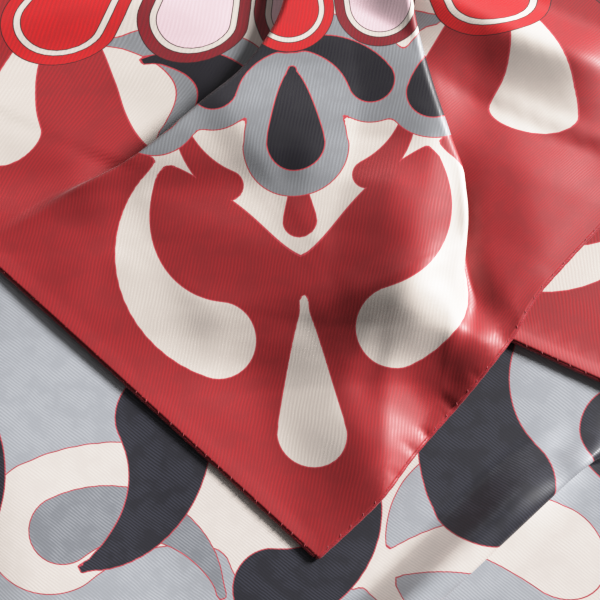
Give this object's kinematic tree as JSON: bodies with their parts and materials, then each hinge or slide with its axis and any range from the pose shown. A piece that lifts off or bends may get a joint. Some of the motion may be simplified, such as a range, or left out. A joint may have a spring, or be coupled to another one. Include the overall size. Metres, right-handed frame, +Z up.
{
  "type": "silk square scarf",
  "caption": "Large silk twill square with rolled hems, laid flat with its corners folded over and soft pleats in the top layer; rests on a surface.",
  "frame": {"origin": "middle of the laid outline, on the surface that the cloth lies on", "axes": "+Z up from the surface; the folded corner's tip points along -Y, and the rear fold runs along X"},
  "size_m": [0.9829, 0.8494, 0.0239],
  "materials": {
    "silk_face": "printed silk twill, face side, soft sheen",
    "silk_reverse": "printed silk twill, reverse side, paler and duller",
    "silk_hem": "hand-rolled silk hem with small stitches"
  },
  "bodies": {
    "root": {"lower_cloth": "silk_reverse", "right_turn": "silk_face", "corner_flap": "silk_face", "hem_flap_right": "silk_hem", "hem_upper_left": "silk_hem", "hem_lower_left": "silk_hem", "hem_lower_right": "silk_hem", "hem_right_turn": "silk_hem"}
  },
  "joints": []
}
